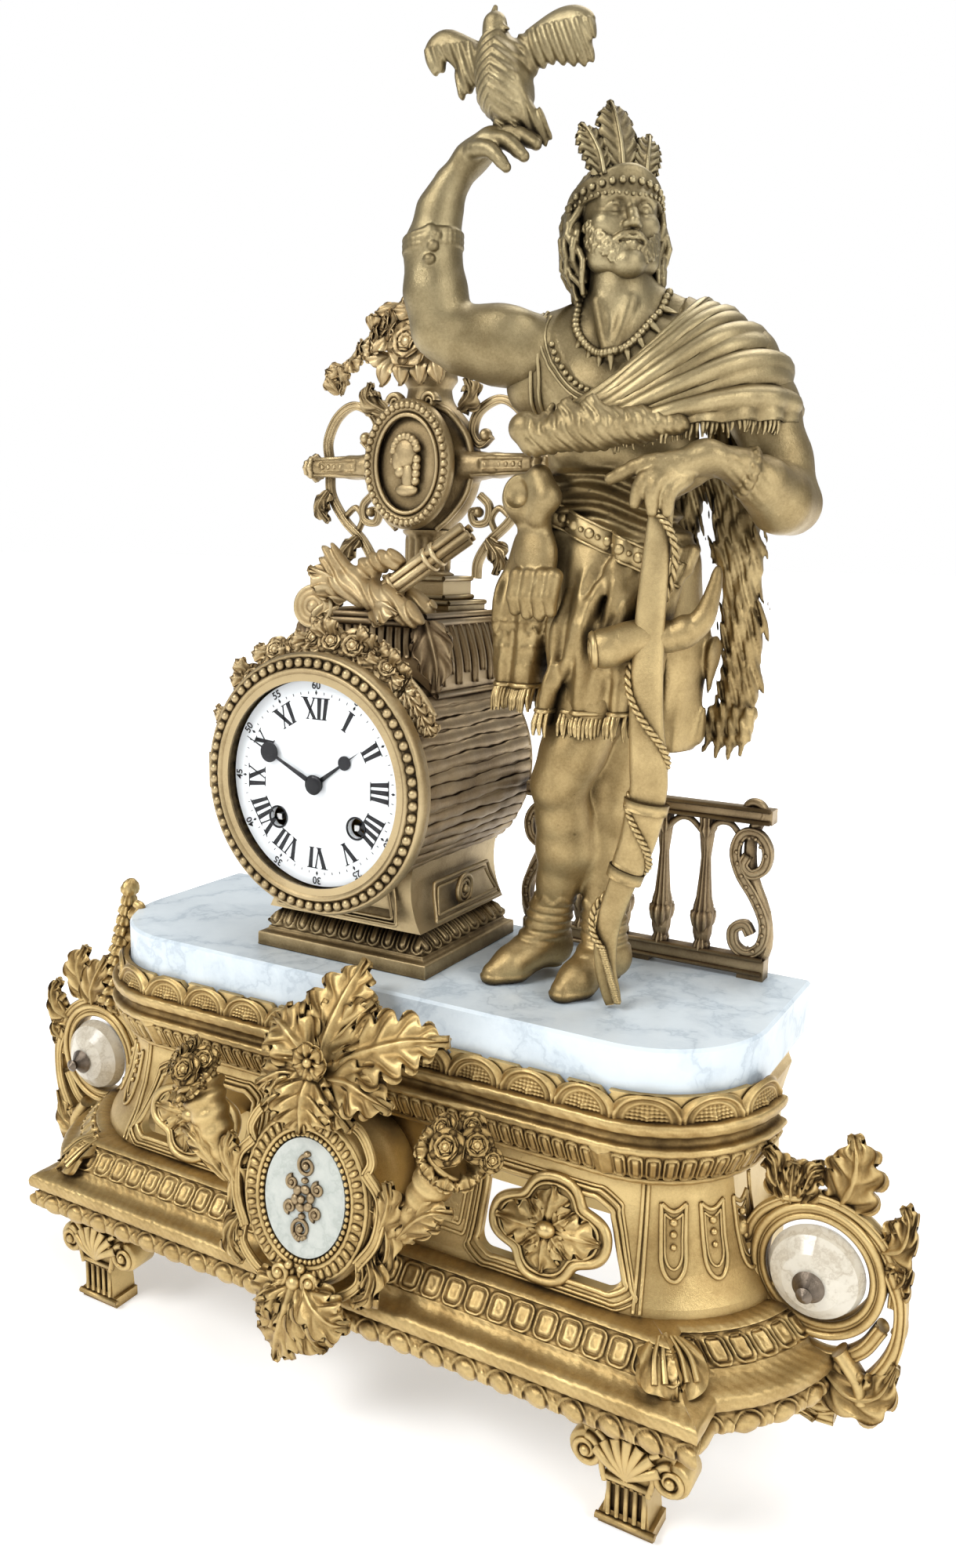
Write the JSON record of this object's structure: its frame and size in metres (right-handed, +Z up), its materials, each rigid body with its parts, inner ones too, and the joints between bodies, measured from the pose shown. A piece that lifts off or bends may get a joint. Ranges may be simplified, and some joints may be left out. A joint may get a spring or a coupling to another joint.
{
  "type": "figural mantel clock",
  "caption": "Gilt mantel clock on a marble-decked openwork base: drum clock with striking movement, vase with roses, railing and a standing figure with a bow holding a bird.",
  "frame": {"origin": "middle of the bounding box at the floor, under the feet", "axes": "+Z up, +X to the right seen from the front, +Y to the back"},
  "size_m": [0.466, 0.174, 0.5827],
  "materials": {
    "gilt": "aged gilding on cast bronze, pale on high spots, brown in the recesses",
    "figure_bronze": "aged gilt bronze, a little browner than the base",
    "dark_bronze": "brown patinated bronze",
    "marble": null,
    "alabaster": null,
    "enamel": "white enamel with black figures",
    "black_steel": "blued to black",
    "clear_glass": "clear flat glass",
    "movement_brass": "grained brass",
    "movement_steel": "bright steel",
    "bell_metal": "turned bell bronze"
  },
  "bodies": {
    "clock_case": {"alabaster_bosses": "alabaster", "back_feet": "gilt", "back_plate": "movement_brass", "bell": "bell_metal", "bird": "figure_bronze", "boss_finials": "dark_bronze", "bow": "figure_bronze", "cloak": "figure_bronze", "clock_pedestal": "gilt", "clock_plinth": "gilt", "cornice": "gilt", "dial": "enamel", "drum_case": "dark_bronze", "figure_body": "figure_bronze", "figure_head": "figure_bronze", "fixing_studs": "movement_steel", "frieze_case": "gilt", "front_feet": "gilt", "front_plate": "movement_brass", "garland": "gilt", "hinge_pins": "movement_steel", "left_cornucopia": "gilt", "left_end_scroll": "gilt", "lower_plinth": "gilt", "marble_slab": "marble", "medallion_crest": "gilt", "medallion_frame": "gilt", "medallion_plaque": "alabaster", "medallion_spray": "dark_bronze", "movement_straps": "movement_steel", "opening_rosettes": "gilt", "plate_pillars": "movement_brass", "railing": "dark_bronze", "raised_arm": "figure_bronze", "resting_arm": "figure_bronze", "right_cornucopia": "gilt", "right_end_scroll": "gilt", "saddle_block": "dark_bronze", "trophy": "gilt", "vase_body": "gilt", "vase_bouquet": "gilt", "vase_stand": "gilt"},
    "bezel": {"front_bezel": "gilt", "bezel_glass": "clear_glass"},
    "cover": {"back_cover": "dark_bronze"},
    "centre": {"centre_arbor": "movement_steel", "minute_hand": "black_steel"},
    "hour": {"hour_wheel": "movement_brass", "hour_hand": "black_steel"},
    "minute_work": {"minute_wheel": "movement_brass"},
    "second": {"second_wheel": "movement_brass"},
    "going_drum": {"going_barrel": "movement_brass"},
    "strike_drum": {"strike_barrel": "movement_brass"},
    "going_winder": {"going_arbor": "movement_steel"},
    "strike_winder": {"strike_arbor": "movement_steel"},
    "escape": {"escape_wheel": "movement_brass"},
    "anchor": {"pallet_anchor": "movement_steel"},
    "swing": {"pendulum": "movement_brass"},
    "striker": {"hammer": "movement_steel"}
  },
  "joints": [
    {"name": "centre_turn", "type": "hinge", "parent": "clock_case", "child": "centre", "pos_m": [-0.026, 0, 0.2715], "axis": [0, 1, 0], "continuous": true},
    {"name": "hour_turn", "type": "hinge", "parent": "clock_case", "child": "hour", "pos_m": [-0.026, -0.02, 0.2715], "axis": [0, 1, 0], "continuous": true},
    {"name": "minute_work_turn", "type": "hinge", "parent": "clock_case", "child": "minute_work", "pos_m": [-0.026, -0.018, 0.2859], "axis": [0, 1, 0], "continuous": true},
    {"name": "second_turn", "type": "hinge", "parent": "clock_case", "child": "second", "pos_m": [-0.01263, 0, 0.27566], "axis": [0, 1, 0], "continuous": true},
    {"name": "going_barrel_turn", "type": "hinge", "parent": "clock_case", "child": "going_drum", "pos_m": [-0.005, 0, 0.2545], "axis": [0, 1, 0], "continuous": true},
    {"name": "strike_barrel_turn", "type": "hinge", "parent": "clock_case", "child": "strike_drum", "pos_m": [-0.047, 0, 0.2545], "axis": [0, 1, 0], "continuous": true},
    {"name": "going_arbor_turn", "type": "hinge", "parent": "clock_case", "child": "going_winder", "pos_m": [-0.005, 0, 0.2545], "axis": [0, 1, 0], "continuous": true},
    {"name": "strike_arbor_turn", "type": "hinge", "parent": "clock_case", "child": "strike_winder", "pos_m": [-0.047, 0, 0.2545], "axis": [0, 1, 0], "continuous": true},
    {"name": "escape_turn", "type": "hinge", "parent": "clock_case", "child": "escape", "pos_m": [-0.026, 0.008, 0.2905], "axis": [0, 1, 0], "continuous": true},
    {"name": "pendulum_swing", "type": "hinge", "parent": "clock_case", "child": "swing", "pos_m": [-0.026, 0.031, 0.3045], "axis": [0, 1, 0], "range_deg": [-4, 4]},
    {"name": "anchor_swing", "type": "hinge", "parent": "clock_case", "child": "anchor", "pos_m": [-0.026, 0.008, 0.3045], "axis": [0, 1, 0], "range_deg": [-4, 4]},
    {"name": "hammer_swing", "type": "hinge", "parent": "clock_case", "child": "striker", "pos_m": [-0.063, 0.024, 0.2575], "axis": [0, 1, 0], "range_deg": [0, 10], "stiffness_Nm_per_rad": 0.005, "springref_deg": -5.73},
    {"name": "bezel_hinge", "type": "hinge", "parent": "clock_case", "child": "bezel", "pos_m": [-0.0855, -0.0255, 0.2715], "axis": [0, 0, -1], "range_deg": [0, 110]},
    {"name": "cover_hinge", "type": "hinge", "parent": "clock_case", "child": "cover", "pos_m": [-0.0855, 0.078, 0.2715], "axis": [0, 0, 1], "range_deg": [0, 110]}
  ],
  "couplings": [
    {"joint": "hour_turn", "follows": "centre_turn", "ratio": 0.083333},
    {"joint": "minute_work_turn", "follows": "centre_turn", "ratio": -0.33333},
    {"joint": "second_turn", "follows": "centre_turn", "ratio": -0.16667},
    {"joint": "going_barrel_turn", "follows": "centre_turn", "ratio": 0.025641},
    {"joint": "anchor_swing", "follows": "pendulum_swing", "ratio": 1}
  ]
}
